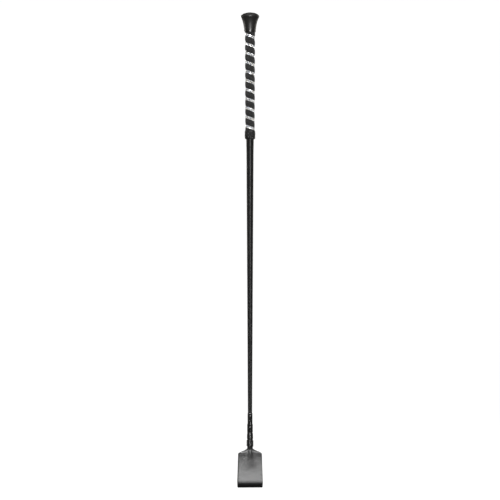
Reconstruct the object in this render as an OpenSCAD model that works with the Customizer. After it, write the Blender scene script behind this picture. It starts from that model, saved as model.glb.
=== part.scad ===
// Riding crop: a tapered fibreglass rod with a braided cover, a padded hand grip wound with a
// band of small crystals, a flared cap, a leather knot below the grip and a folded leather tongue.
// +Z points to the cap and the origin is the centre of the hand grip, on the rod's axis.
// The tongue's flat faces look along -Y and +Y.

/* [Overall] */
// Length of the whole crop, from the top of the cap to the fold of the tongue
overall_l = 650; // [500:5:750]

/* [Cap] */
// Widest diameter of the cap
cap_d = 25.4; // [22:0.1:30]
// Height of the cap above the grip
cap_h = 27.3; // [26:0.1:32]
// Diameter of the cap's skirt where it meets the grip
cap_skirt_d = 15.6; // [15.4:0.1:17]
// Height of the domed crown
crown_h = 6; // [5:0.1:7]

/* [Grip] */
// Length of the wrapped hand grip
grip_l = 134; // [110:1:160]
// Diameter over the wrap just under the cap
grip_top_d = 13.9; // [13.5:0.1:14]
// Diameter over the wrap just above the knot
grip_bottom_d = 12.9; // [12.7:0.1:13.5]
// Rise of the wrap and the crystal band in one turn
wrap_pitch = 12.5; // [12.5:0.5:14]
// Width of the crystal band measured along the axis
band_w = 3.9; // [3.9:0.05:4.2]

/* [Crystals] */
// Diameter of one crystal
crystal_d = 1.85; // [1.6:0.05:1.85]
// Spacing of the crystals along the band
crystal_pitch = 2.4; // [2.4:0.1:3]
// Spacing of the two rows of crystals
crystal_row = 1.9; // [1.86:0.01:1.9]

/* [Knot] */
// Height of the leather knot below the grip
collar_l = 12; // [11.5:0.5:13]
// Diameter of the leather knot
collar_d = 14.7; // [14.7:0.1:15.5]

/* [Shaft] */
// Diameter of the braided shaft below the knot
shaft_top_d = 10.6; // [10:0.1:10.6]
// Diameter of the braided shaft above the tip sleeve
shaft_tip_d = 5.9; // [5.5:0.1:5.9]
// Wall of the braided cover
braid_t = 0.55; // [0.4:0.05:0.6]

/* [Neck] */
// Visible length of the upper tip sleeve
tip_sleeve_l = 15.1; // [10:0.1:20]
// Length of the wider sleeve below it
neck_sleeve_l = 11.2; // [9:0.1:15]
// Length of the leather lace binding
lace_l = 10.4; // [7.8:2.6:13]
// Length of the thread whipping
whipping_l = 9.5; // [8:0.1:12]
// Diameter over the thread whipping
whipping_d = 9.7; // [9.7:0.1:10.4]

/* [Tongue] */
// Length of the tongue below the whipping
tongue_l = 56; // [50:1:70]
// Width of the tongue at its shoulders
tongue_top_w = 32.4; // [28:0.2:36]
// Width of the tongue at its fold
tongue_bottom_w = 34.2; // [30:0.2:40]
// Thickness of the leather
leather_t = 1.8; // [1.4:0.1:2]
// Depth of the loop at the fold, over both leaves
loop_depth = 14; // [12:0.5:16]

/* [Hidden] */

$fn = 48;
gap = 0.03; // bonded layers stand this far apart
joint_gap = 0.3; // between the neck and the tongue that swings below it

// Heights along the axis
grip_top = grip_l / 2;
grip_bottom = -grip_l / 2;
cap_top = grip_top + cap_h;
rim_z = cap_top - crown_h; // height of the cap's widest circle
seam_z = rim_z + 1; // seam between the cap's shell and its crown
collar_bottom = grip_bottom - collar_l;
tongue_bottom = cap_top - overall_l;
neck_bottom = tongue_bottom + tongue_l;
whipping_top = neck_bottom + whipping_l;
lace_top = whipping_top + lace_l;
neck_sleeve_top = lace_top + neck_sleeve_l;
tip_sleeve_top = neck_sleeve_top + tip_sleeve_l;
shaft_l = collar_bottom - tip_sleeve_top;

// Rod
rod_top = rim_z - 5;
rod_top_r = 3.2;
rod_tip_r = 1.5;
ferrule_t = 0.5;
ferrule_l = 21;

// Shaft: share of the way down, and share of the way from the top diameter to the tip diameter
shaft_taper = [[0, 0], [0.05, 0.15], [0.26, 0.34], [0.565, 0.63], [1, 1]];
handle_sleeve_bottom = collar_bottom - 16;
braid_overlap = 12; // the braid runs this far under the tip sleeve
padding_tip = lace_top + 4.5; // lower end of the yarn padding

// Grip
shaft_r = shaft_top_d / 2;
facet = 7.5; // half the angle of one step of a helix
band_base = (shaft_r + gap) / cos(facet); // the steps' flats stay clear of the braid
wrap_w = wrap_pitch - band_w - 0.1;
band_front_z = grip_top - 5.4; // height of the first turn of the band at the front
tape_t = 0.28;
setting_h = 0.35;
crystal_h = 0.32;
hidden_wrap = 3.5; // the wrap runs this far up inside the cap
cap_wall = 1.1;
seam_step = 0.08; // the crown stands this far inside the shell at the seam
skirt_bore_r = grip_top_d / 2 + 0.1;

// Knot: a Turk's head of five leads and nine bights, tied with one flat strand
knot_leads = 5;
knot_bights = 9;
strand_w = 2.7;
strand_t = 0.66;
strand_lift = 0.55; // how far a strand rises and dips where it crosses another
knot_barrel = 0.2; // how much smaller the knot's ends are than its middle
knot_turn = 0.88; // nearer to 1 makes the bights sharper
knot_steps = 225;

// Neck
tip_sleeve_r = 3.43;
neck_sleeve_r = 3.92;
tab_r = 2.15;
tab_angle = 82; // each leather tab reaches this far round the rod either side
lace_turns = 4;
lace_t = 0.86;
thread_d = 1.04;

// Tongue
knuckle_r = 3.4; // half the thickness where the two leaves meet under the neck
hinge_z = neck_bottom - joint_gap - knuckle_r;
fold_r = loop_depth / 2;
fold_z = tongue_bottom + fold_r;
pinch_z = hinge_z - 8.6; // the leaves are closest here
pinch_r = 3.12;
web_z = hinge_z - 5.6; // the leaves are bonded together above this height
shoulder_l = 10; // height of the sloping shoulders
shoulder_flat = 0.4; // nearer to 1 makes the slope straighter and its corners sharper
shoulder_steps = 12;
lean = asin((fold_r - pinch_r) / (pinch_z - fold_z)); // slope of the leaves, near enough

black = "#161616";
soft_black = "#262626";
steel = "#c9ccd0";

// Braid radius at a height
function taper_share(s, i = 0) =
    i >= len(shaft_taper) - 2 || s < shaft_taper[i + 1][0]
        ? let (a = shaft_taper[i], b = shaft_taper[i + 1])
            a[1] + (b[1] - a[1]) * (s - a[0]) / (b[0] - a[0])
        : taper_share(s, i + 1);
function braid_r(z) = z > collar_bottom
    ? shaft_r
    : (shaft_top_d + (shaft_tip_d - shaft_top_d)
        * min(1, taper_share((collar_bottom - z) / shaft_l))) / 2;
function rod_r(z) = rod_tip_r
    + (rod_top_r - rod_tip_r) * (z - neck_bottom) / (rod_top - neck_bottom);

// Heights at which the shaft's outline turns, from the top down
function shaft_heights(top, bottom) = concat([top],
    [for (p = shaft_taper) let (z = collar_bottom - p[0] * shaft_l) if (z < top && z > bottom) z],
    [bottom]);

// A tube around the axis whose outside and inside follow the shaft
module shaft_tube(top, bottom, inset, wall_to_rod) {
    zs = shaft_heights(top, bottom);
    n = len(zs);
    inner = wall_to_rod > 0
        ? [for (i = [n - 1:-1:0]) [braid_r(zs[i]) - inset - wall_to_rod, zs[i]]]
        : [[rod_r(bottom) + gap, bottom], [rod_r(top) + gap, top]];
    rotate_extrude()
        polygon(concat([for (z = zs) [braid_r(z) - inset, z]], inner));
}

module ring(r_out, r_in, top, bottom) {
    translate([0, 0, bottom])
        difference() {
            cylinder(h = top - bottom, r = r_out);
            translate([0, 0, -1])
                cylinder(h = top - bottom + 2, r = r_in);
        }
}

// One closed solid swept through rings of points, open ended or closed on itself
module sweep(rings, closed = false) {
    n = len(rings);
    m = len(rings[0]);
    last = closed ? n - 1 : n - 2;
    sides = [for (i = [0:last], j = [0:m - 1], k = [0, 1])
        let (a = i * m + j, b = i * m + (j + 1) % m)
        let (c = ((i + 1) % n) * m + (j + 1) % m, d = ((i + 1) % n) * m + j)
        k == 0 ? [a, b, c] : [a, c, d]];
    ends = closed ? [] : [[for (j = [m - 1:-1:0]) j],
        [for (j = [0:m - 1]) (n - 1) * m + j]];
    polyhedron(points = [for (r = rings) each r], faces = concat(sides, ends));
}

// Left-handed helix of the grip: the height of the band's middle at an angle
function band_z(a) = band_front_z - wrap_pitch * (a + 90) / 360;
function band_angle(z) = (band_front_z - z) * 360 / wrap_pitch - 90;
function crown_r(z) = (grip_bottom_d + (grip_top_d - grip_bottom_d)
    * min(1, (z - grip_bottom) / grip_l)) / 2;

// A strip wound down the grip; outline(z) gives its [height, radius] points at a height
module wound_strip(drop, half_w, crown) {
    a0 = band_angle(grip_top + hidden_wrap + wrap_pitch);
    a1 = band_angle(grip_bottom - wrap_pitch);
    steps = ceil((a1 - a0) / (2 * facet));
    base = band_base + 0.02;
    intersection() {
        sweep([for (i = [0:steps])
            let (a = a0 + (a1 - a0) * i / steps, z = band_z(a) - drop, t = crown_r(z) - base)
            [for (p = crown)
                let (r = base + (p[1] < 0 ? tape_t : p[1] * t))
                [r * cos(a), r * sin(a), z + p[0] * half_w]]]);
        translate([-20, -20, grip_bottom])
            cube([40, 40, grip_l + hidden_wrap]);
    }
}

module core_rod() {
    color("#e6e2cf")
        translate([0, 0, neck_bottom + ferrule_t + gap])
            cylinder(h = rod_top - neck_bottom - ferrule_t - gap,
                r1 = rod_r(neck_bottom + ferrule_t), r2 = rod_top_r);
}

module tip_ferrule() {
    inside = rod_r(neck_bottom + ferrule_l) + 0.02;
    color(steel)
        translate([0, 0, neck_bottom])
            difference() {
                cylinder(h = ferrule_l, r = tab_r - gap);
                translate([0, 0, ferrule_t])
                    cylinder(h = ferrule_l, r = inside);
            }
}

module handle_sleeve() {
    color(soft_black)
        shaft_tube(rod_top, handle_sleeve_bottom, braid_t + gap, 0);
}

module shaft_padding() {
    color("#d8d2c2")
        shaft_tube(handle_sleeve_bottom - gap, padding_tip, braid_t + gap, 0);
}

module shaft_braid() {
    color(black)
        shaft_tube(rod_top, tip_sleeve_top - braid_overlap, 0, braid_t);
}

module wrap_start_tape() {
    color(soft_black)
        ring(skirt_bore_r - 0.1, shaft_r + gap, grip_top + hidden_wrap + 2.6,
            grip_top + hidden_wrap + gap);
}

module wrap_end_tape() {
    color(soft_black)
        ring(shaft_r + 0.12, shaft_r + gap, grip_bottom - gap, collar_bottom + 0.6);
}

module grip_wrap() {
    padded = [[-1, 0], [-1, 0.35], [-0.84, 0.76], [-0.48, 0.97], [0, 1], [0.48, 0.97],
        [0.84, 0.76], [1, 0.35], [1, 0]];
    color(soft_black)
        wound_strip(wrap_pitch / 2, wrap_w / 2, padded);
}

module crystal_tape() {
    color(black)
        wound_strip(0, band_w / 2, [[-1, 0], [-1, -1], [1, -1], [1, 0]]);
}

// Puts its children along the band: X points outwards and Y along the band
module along_band() {
    tape_r = band_base + 0.02 + tape_t + gap;
    turn = norm([2 * PI * (tape_r + setting_h), wrap_pitch]);
    slope = atan(wrap_pitch / (2 * PI * (tape_r + setting_h)));
    step = 360 * crystal_pitch / turn;
    side = crystal_row / 2;
    side_angle = side * sin(slope) / tape_r * 180 / PI;
    first = band_angle(grip_top);
    count = floor((band_angle(grip_bottom) - first) / step);
    for (i = [0:count], s = [-1, 1])
        let (a = first + i * step, z = band_z(a) + s * side * cos(slope))
            if (z < grip_top - 1.05 && z > grip_bottom + 1.05)
                rotate([0, 0, a + s * side_angle])
                    translate([tape_r, 0, z])
                        rotate([-slope, 0, 0])
                            children();
}

module crystal_settings() {
    across = crystal_row - 0.12;
    along = crystal_pitch - 0.3;
    color(steel)
        along_band()
            translate([0, -along / 2, -across / 2])
                cube([setting_h, along, across]);
}

module crystals() {
    color("#f4f7ff")
        along_band()
            translate([setting_h + 0.01, 0, 0])
                rotate([0, 90, 0])
                    cylinder(h = crystal_h, r1 = crystal_d / 2 - 0.03, r2 = crystal_d * 0.3);
}

// Radius of the cap's flared skirt: nearly straight below, opening out to the rim
function skirt_r(s) = (cap_skirt_d + (cap_d - cap_skirt_d) * (0.42 * s + 0.58 * pow(s, 3.4))) / 2;
function skirt_point(s, inset) = [skirt_r(s) - inset, grip_top + s * (rim_z - grip_top)];
function crown_at(r) = rim_z + crown_h * sqrt(max(0, 1 - pow(2 * r / cap_d, 2)));

module cap_shell() {
    steps = 12;
    bed = grip_top + hidden_wrap + 2.8; // the bore for the grip ends here
    s0 = (bed - grip_top) / (rim_z - grip_top);
    seam_r = cap_d / 2 * sqrt(1 - pow((seam_z - rim_z) / crown_h, 2));
    color(black)
        rotate_extrude()
            polygon(concat(
                [for (i = [0:steps]) skirt_point(i / steps, 0)],
                [[seam_r, seam_z], [seam_r - cap_wall, seam_z]],
                [for (i = [steps:-2:5]) skirt_point(i / steps, cap_wall)],
                [skirt_point(s0, cap_wall), [skirt_bore_r, bed], [skirt_bore_r, grip_top]]));
}

module cap_crown() {
    steps = 10;
    seam_r = cap_d / 2 * sqrt(1 - pow((seam_z - rim_z) / crown_h, 2));
    spigot_r = seam_r - cap_wall - gap;
    color(black)
        rotate_extrude()
            polygon(concat(
                [[0, rim_z + gap], [spigot_r, rim_z + gap], [spigot_r, seam_z + gap]],
                [for (i = [0:steps])
                    let (r = (seam_r - seam_step) * cos(90 * i / steps))
                    [i == steps ? 0 : r, crown_at(r)]]));
}

module cap_plug() {
    steps = 6;
    bottom = (hidden_wrap + 2.9) / (rim_z - grip_top);
    top = (rim_z - gap - grip_top) / (rim_z - grip_top);
    color("#8a6b45")
        difference() {
            rotate_extrude()
                polygon(concat([[0, grip_top + hidden_wrap + 2.9]],
                    [for (i = [0:steps])
                        skirt_point(bottom + (top - bottom) * i / steps, cap_wall + 0.25)],
                    [[0, rim_z - gap]]));
            translate([0, 0, grip_top])
                cylinder(h = rod_top - grip_top + gap, r = shaft_r + gap);
        }
}

// Over at the first crossing after a bight, under at the next, and so on; u runs from one bight
// to the next, and the crossings are at each whole share of the leads
function knot_wave(u) =
    let (first = 1 / knot_leads)
    u < first ? -cos(90 * (u + first) / first)
        : u > 1 - first ? -cos(90 * (u - 1 + first) / first)
        : cos(180 * (u - first) / first);

// Middle of the knot's strand at a share of its length; it closes on itself
function knot_point(t) =
    let (a = 360 * knot_leads * t, rise = (collar_l - strand_w) / 2)
    let (swing = asin(knot_turn * cos(360 * knot_bights * t)) / asin(knot_turn))
    let (u = 2 * knot_bights * t)
    let (r = collar_d / 2 - strand_t / 2 - strand_lift - knot_barrel * pow(swing, 2)
        + strand_lift * knot_wave(u - floor(u)))
    [r * cos(a), r * sin(a), (grip_bottom + collar_bottom) / 2 + rise * swing];

module collar_knot() {
    section = [[0.5, 0], [0.4, 0.34], [0.16, 0.5], [-0.16, 0.5], [-0.4, 0.34], [-0.5, 0],
        [-0.34, -0.46], [0.34, -0.46]];
    color(black)
        sweep([for (i = [0:knot_steps - 1])
            let (t = i / knot_steps, p = knot_point(t))
            let (d = knot_point(t + 0.001) - knot_point(t - 0.001), along = d / norm(d))
            let (out = [p[0], p[1], 0] / norm([p[0], p[1]]), across = cross(along, out))
            let (side = across / norm(across), up = cross(side, along))
            [for (q = section) p + side * q[0] * strand_w + up * q[1] * strand_t]],
            closed = true);
}

module tip_sleeve() {
    bottom = neck_sleeve_top - 6.4;
    bore = shaft_tip_d / 2 + 0.05;
    color(black)
        rotate_extrude()
            polygon([[bore, tip_sleeve_top], [tip_sleeve_r - 0.25, tip_sleeve_top],
                [tip_sleeve_r, tip_sleeve_top - 0.8], [tip_sleeve_r, bottom], [bore, bottom]]);
}

module neck_sleeve() {
    bore = tip_sleeve_r + gap;
    color(black)
        rotate_extrude()
            polygon([[bore, neck_sleeve_top], [neck_sleeve_r - 0.3, neck_sleeve_top],
                [neck_sleeve_r, neck_sleeve_top - 0.7], [neck_sleeve_r, lace_top + gap],
                [bore, lace_top + gap]]);
}

// Half of the leather round the rod's tip, thinned towards its upper end
module tongue_tab(side) {
    top = neck_sleeve_top - 7.4;
    thin = tip_sleeve_r;
    thick = whipping_d / 2 - thread_d - gap;
    color(black)
        rotate([0, 0, side * 90 - tab_angle])
            rotate_extrude(angle = 2 * tab_angle)
                polygon([[tab_r, neck_bottom], [thick, neck_bottom], [thick, whipping_top],
                    [thin, lace_top], [thin, top], [tab_r, top]]);
}

module tongue_tab_front() {
    tongue_tab(-1);
}

module tongue_tab_back() {
    tongue_tab(1);
}

// A lace or thread wound round the neck between two heights, with its ends at the back
module neck_winding(top, bottom, turns, top_r, bottom_r, section) {
    steps = turns * 16;
    low = min([for (q = section) q[1]]);
    high = max([for (q = section) q[1]]);
    run = top - bottom - (high - low);
    sweep([for (i = [0:steps])
        let (s = i / steps, a = 90 + 360 * turns * s, r = top_r + (bottom_r - top_r) * s)
        [for (q = section)
            [(r + q[0]) * cos(a), (r + q[0]) * sin(a), top - high - run * s + q[1]]]]);
}

module binding_lace() {
    half = (lace_l / (lace_turns + 1) - 0.06) / 2;
    base = (whipping_d / 2 - thread_d) / cos(11.25);
    section = [[0, -half], [0.6 * lace_t, -half * 0.8], [lace_t * 0.72, 0],
        [0.6 * lace_t, half * 0.8], [0, half]];
    color(black)
        neck_winding(lace_top, whipping_top + gap, lace_turns, base - 0.2, base, section);
}

module whipping_thread() {
    turns = floor((whipping_l - thread_d) / (thread_d + 0.01));
    middle = whipping_d / 2 - thread_d / 2;
    section = [for (i = [0:5]) thread_d / 2 * 0.93 * [cos(60 * i + 30), sin(60 * i + 30)]];
    color(black)
        neck_winding(whipping_top, neck_bottom, turns, middle + 0.03, middle + 0.03, section);
}

// Outline of the tongue's side: two leaves, a round fold and the knuckle under the neck
module tongue_side() {
    difference() {
        union() {
            translate([0, fold_z])
                circle(r = fold_r);
            translate([0, hinge_z])
                circle(r = knuckle_r);
            polygon([for (s = [1, -1]) each [for (p = s > 0 ? [0, 1, 2] : [2, 1, 0])
                let (q = [[fold_r * cos(lean), fold_z + fold_r * sin(lean)],
                    [pinch_r, pinch_z], [knuckle_r, hinge_z]][p])
                [s * q[0], q[1]]]]);
        }
        translate([0, fold_z])
            circle(r = fold_r - leather_t);
        polygon([for (s = [1, -1]) each [for (p = s > 0 ? [0, 1] : [1, 0])
            let (q = [[(fold_r - leather_t) * cos(lean), fold_z + (fold_r - leather_t) * sin(lean)],
                [0.98, web_z]][p])
            [s * q[0], q[1]]]]);
    }
}

function smooth(s) = s <= 0 ? 0 : s >= 1 ? 1 : s * s * (3 - 2 * s);

// Outline of the tongue's face: a narrow neck, curved shoulders and nearly parallel edges
module tongue_face() {
    neck_hw = whipping_d / 2;
    right = concat(
        [for (i = [0:shoulder_steps])
            let (s = i / shoulder_steps)
            let (out = shoulder_flat * s + (1 - shoulder_flat) * smooth(s))
            [neck_hw + (tongue_top_w / 2 - neck_hw) * out, neck_bottom + 0.3 - shoulder_l * s]],
        [[tongue_bottom_w / 2, fold_z], [tongue_bottom_w / 2, tongue_bottom - 1]]);
    n = len(right);
    polygon(concat(right, [for (i = [n - 1:-1:0]) [-right[i][0], right[i][1]]]));
}

module tongue_loop() {
    deep = loop_depth + 10;
    wide = tongue_bottom_w + 10;
    color(black)
        intersection() {
            rotate([90, 0, 90])
                translate([0, 0, -wide / 2])
                    linear_extrude(wide)
                        tongue_side();
            rotate([90, 0, 0])
                translate([0, 0, -deep / 2])
                    linear_extrude(deep)
                        tongue_face();
        }
}

core_rod();
tip_ferrule();
handle_sleeve();
shaft_padding();
shaft_braid();
wrap_start_tape();
wrap_end_tape();
grip_wrap();
crystal_tape();
crystal_settings();
crystals();
cap_plug();
cap_shell();
cap_crown();
collar_knot();
tip_sleeve();
neck_sleeve();
tongue_tab_front();
tongue_tab_back();
binding_lace();
whipping_thread();
tongue_loop();
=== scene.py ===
"""A riding crop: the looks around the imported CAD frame. Lengths are in millimetres until piece()
turns them into metres; heights are on the rod's axis, with 0 at the middle of the hand grip."""

import math

import bmesh
import bpy
import numpy as np
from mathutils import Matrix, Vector, noise


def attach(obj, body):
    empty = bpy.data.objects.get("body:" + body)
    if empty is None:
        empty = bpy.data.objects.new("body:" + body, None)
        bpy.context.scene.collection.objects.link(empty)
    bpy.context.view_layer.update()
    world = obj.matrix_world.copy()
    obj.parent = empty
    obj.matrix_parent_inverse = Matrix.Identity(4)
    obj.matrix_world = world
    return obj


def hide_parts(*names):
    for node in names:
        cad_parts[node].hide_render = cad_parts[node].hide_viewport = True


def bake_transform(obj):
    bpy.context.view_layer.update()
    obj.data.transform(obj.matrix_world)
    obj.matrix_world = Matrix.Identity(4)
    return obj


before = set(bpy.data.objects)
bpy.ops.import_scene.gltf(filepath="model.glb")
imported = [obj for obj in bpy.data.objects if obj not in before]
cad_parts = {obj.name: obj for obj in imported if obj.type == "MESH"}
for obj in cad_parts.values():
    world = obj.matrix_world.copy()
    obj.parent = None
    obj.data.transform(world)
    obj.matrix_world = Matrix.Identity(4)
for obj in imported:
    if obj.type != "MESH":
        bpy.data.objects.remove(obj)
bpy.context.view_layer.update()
scene = bpy.context.scene
MM = 0.001

# Heights and sizes that the CAD part has
GRIP_TOP, GRIP_BOTTOM = 67.0, -67.0
RIM_Z, SEAM_Z, CROWN_H = 88.3, 89.3, 6.0
CAP_R, SKIRT_R, SKIRT_BORE = 12.7, 7.8, 7.05
CAP_WALL = 1.1
PITCH, BAND_W = 12.5, 3.9
FRONT_Z = GRIP_TOP - 5.4  # the band's first turn at the front
BASE_R = 5.396  # what the grip strip and the band lie on
TAPE_T = 0.28
HIDDEN_WRAP = 3.5  # the wrap runs this far up inside the cap
COLLAR_BOTTOM = -79.0
KNOT_R, STRAND_W, STRAND_T, STRAND_LIFT = 7.35, 2.7, 0.66, 0.55
SHAFT_TOP_D, SHAFT_TIP_D = 10.6, 5.9
TAPER = [(0, 0), (0.05, 0.15), (0.26, 0.34), (0.565, 0.63), (1, 1)]  # shares of length and of taper
SLEEVE_TOP, SLEEVE_R = -453.5, 3.43
NECK_SLEEVE_TOP = -468.6
LACE_TOP, LACE_T, LACE_TURNS = -479.8, 0.86, 4
WHIP_TOP, WHIP_R, WHIP_TURNS, THREAD_D = -490.2, 4.85, 8, 1.04
NECK_BOTTOM = -499.7
TAB_R = 2.15  # inside of the leather round the rod
PINCH_Z, PINCH_R = -512.0, 3.12  # where the two leaves are closest
FOLD_Z, FOLD_R = -548.7, 7.0
SHOULDER_HALF, FOLD_HALF = 16.2, 17.1  # half the tongue's width
LEATHER_T = 1.8


# ---------------------------------------------------------------- mesh helpers
def smooth(s):
    s = np.clip(s, 0, 1)
    return s * s * (3 - 2 * s)


def grid(rows, cols, close_rows=False, close_cols=False):
    """Four-sided faces over rows x cols points, as a list."""
    i = np.arange(rows if close_rows else rows - 1)
    j = np.arange(cols if close_cols else cols - 1)
    i, j = (x.ravel() for x in np.meshgrid(i, j, indexing="ij"))
    down, across = (i + 1) % rows, (j + 1) % cols
    corners = (i * cols + j, i * cols + across, down * cols + across, down * cols + j)
    return np.stack(corners, 1).tolist()


def piece(name, points, faces, finish, replaces=(), body="crop", lay=None, cuts=(), flat=False):
    """A mesh piece. lay is a coordinate of its weave at each point; cuts are (height, side) planes
    that end it with a flat face."""
    mesh = bpy.data.meshes.new(name)
    points = np.asarray(points, float).reshape(-1, 3) * MM
    mesh.from_pydata(points.tolist(), [], faces)
    if lay is not None:
        mesh.attributes.new("lay", "FLOAT_VECTOR", "POINT").data.foreach_set(
            "vector", np.asarray(lay, np.float32).ravel())
    bm = bmesh.new()
    bm.from_mesh(mesh)
    for height, side in cuts:
        bmesh.ops.bisect_plane(bm, geom=bm.verts[:] + bm.edges[:] + bm.faces[:], dist=1e-8,
                               plane_co=(0, 0, height * MM), plane_no=(0, 0, side), clear_outer=True)
        bmesh.ops.holes_fill(bm, edges=[e for e in bm.edges if e.is_boundary], sides=0)
    bmesh.ops.remove_doubles(bm, verts=bm.verts, dist=1e-7)
    bmesh.ops.recalc_face_normals(bm, faces=bm.faces)
    bm.to_mesh(mesh)
    bm.free()
    mesh.polygons.foreach_set("use_smooth", [not flat] * len(mesh.polygons))
    mesh.materials.append(finish)
    obj = bpy.data.objects.new(name, mesh)
    scene.collection.objects.link(obj)
    if body:
        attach(obj, body)
    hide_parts(*replaces)
    return obj


def rounded(points, radius, steps=5):
    """The outline with each corner turned into a short curve."""
    out = []
    n = len(points)
    for k in range(n):
        before, at, after = (np.array(points[(k + d) % n], float) for d in (-1, 0, 1))
        r = radius if np.isscalar(radius) else radius[k]
        a, b = before - at, after - at
        if r <= 0:
            out.append(at)
            continue
        la, lb = np.linalg.norm(a), np.linalg.norm(b)
        p, q = at + a / la * min(r, la * 0.45), at + b / lb * min(r, lb * 0.45)
        for t in np.linspace(0, 1, steps):
            out.append((1 - t) ** 2 * p + 2 * t * (1 - t) * at + t * t * q)
    return np.array(out)


def lathe(name, outline, finish, replaces=(), sides=144, ripple=None):
    """Turned about the axis; outline is a closed loop of (radius, height). ripple(angle, z) adds to
    the radius."""
    outline = np.asarray(outline, float)
    a = np.linspace(0, 2 * np.pi, sides, endpoint=False)
    r, z = outline[:, 0][:, None], outline[:, 1][:, None] + 0 * a[None, :]
    r = r + 0 * a[None, :]
    if ripple:
        r = r + ripple(a[None, :] + 0 * r, z)
    points = np.stack([r * np.cos(a), r * np.sin(a), z], -1)
    return piece(name, points, grid(len(outline), sides, True, True), finish, replaces)


def sweep(rings, closed=False):
    """Points and faces of a solid through closed rings of points, with flat ends."""
    rings = np.asarray(rings, float)
    n, m = rings.shape[:2]
    faces = grid(n, m, closed, True)
    if not closed:
        faces += [list(range(m)), [(n - 1) * m + k for k in range(m)]]
    return rings, faces


# ---------------------------------------------------------------- materials
class Finish:
    """A procedural material: one Principled shader with a few pattern nodes."""

    def __init__(self, name, colour, rough, specular=0.5, metallic=0.0, coat=0.0, coat_rough=0.1,
                 sheen=0.0, sheen_rough=0.5):
        self.material = bpy.data.materials.new(name)
        self.material.use_nodes = True
        self.tree = self.material.node_tree
        self.shader = self.tree.nodes["Principled BSDF"]
        self.set("Base Color", (*colour, 1))
        self.set("Roughness", rough)
        self.set("Specular IOR Level", specular)
        self.set("Metallic", metallic)
        self.set("Coat Weight", coat)
        self.set("Coat Roughness", coat_rough)
        self.set("Sheen Weight", sheen)
        self.set("Sheen Roughness", sheen_rough)
        self.normal = None

    def set(self, socket, value):
        self.shader.inputs[socket].default_value = value

    def node(self, kind, inputs=None, **settings):
        n = self.tree.nodes.new("ShaderNode" + kind)
        for key, value in settings.items():
            setattr(n, key, value)
        for key, value in (inputs or {}).items():
            if isinstance(value, bpy.types.NodeSocket):
                self.tree.links.new(value, n.inputs[key])
            else:
                n.inputs[key].default_value = value
        return n

    def place(self, scale=(1, 1, 1), turn=(0, 0, 0)):
        """Object coordinates in millimetres, scaled and turned."""
        at = self.node("TexCoord").outputs["Object"]
        scaled = tuple(1000 * s for s in (scale if len(np.shape(scale)) else (scale,) * 3))
        return self.node("Mapping", {"Vector": at, "Scale": scaled, "Rotation": turn}).outputs[0]

    def lay(self, scale=(1, 1, 1), turn=0.0):
        """The piece's own weave coordinates, scaled and turned."""
        at = self.node("Attribute", attribute_name="lay").outputs["Vector"]
        return self.node("Mapping", {"Vector": at, "Scale": scale, "Rotation": (0, 0, turn)}).outputs[0]

    def bricks(self, at, wide, high, gap):
        """1 in the middle of each stitch and 0 between them; each row is half a stitch further on."""
        between = self.node("TexBrick", {"Vector": at, "Scale": 1.0, "Mortar Size": gap,
                                         "Mortar Smooth": 1.0, "Brick Width": wide,
                                         "Row Height": high}, offset=0.5).outputs["Fac"]
        return self.fit(between, 0, 1, 1, 0)

    def noise(self, at, scale, detail=3.0, rough=0.55):
        return self.node("TexNoise", {"Vector": at, "Scale": scale, "Detail": detail,
                                      "Roughness": rough, "Distortion": 0.0}).outputs[0]

    def cells(self, at, scale, feature="F1", smoothness=0.3):
        inputs = {"Vector": at, "Scale": scale}
        if feature == "SMOOTH_F1":
            inputs["Smoothness"] = smoothness
        return self.node("TexVoronoi", inputs, feature=feature).outputs["Distance"]

    def stripes(self, at, scale, axis, distortion, detail_scale=1.0):
        return self.node("TexWave", {"Vector": at, "Scale": scale, "Distortion": distortion,
                                     "Detail": 2.0, "Detail Scale": detail_scale},
                         bands_direction=axis, wave_profile="SIN").outputs["Fac"]

    def sum(self, *parts, how="ADD"):
        total = parts[0]
        for p in parts[1:]:
            n = self.node("Math", operation=how)
            for k, v in enumerate((total, p)):
                if isinstance(v, bpy.types.NodeSocket):
                    self.tree.links.new(v, n.inputs[k])
                else:
                    n.inputs[k].default_value = v
            total = n.outputs[0]
        return total

    def times(self, *parts):
        return self.sum(*parts, how="MULTIPLY")

    def fit(self, value, low, high, to_low, to_high):
        return self.node("MapRange", {"Value": value, "From Min": low, "From Max": high,
                                      "To Min": to_low, "To Max": to_high}).outputs[0]

    def tint(self, factor, colours):
        """Base colour through a ramp of (position, colour)."""
        ramp = self.node("ValToRGB", {"Fac": factor})
        while len(ramp.color_ramp.elements) < len(colours):
            ramp.color_ramp.elements.new(0.5)
        for e, (position, colour) in zip(ramp.color_ramp.elements, colours):
            e.position = position
            e.color = (*colour, 1)
        self.tree.links.new(ramp.outputs[0], self.shader.inputs["Base Color"])

    def roughen(self, value):
        self.tree.links.new(value, self.shader.inputs["Roughness"])

    def rough(self, pattern, low, high):
        self.roughen(self.fit(pattern, 0.3, 0.7, low, high))

    def bump(self, height, depth):
        """depth is in millimetres for a height of 1; later bumps lie on top of earlier ones."""
        inputs = {"Height": height, "Strength": 1.0, "Distance": depth * MM}
        if self.normal is not None:
            inputs["Normal"] = self.normal
        self.normal = self.node("Bump", inputs).outputs[0]
        self.tree.links.new(self.normal, self.shader.inputs["Normal"])


def grey(v, warm=0.0):
    return (v * (1 + warm), v, v * (1 - warm))


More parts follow.
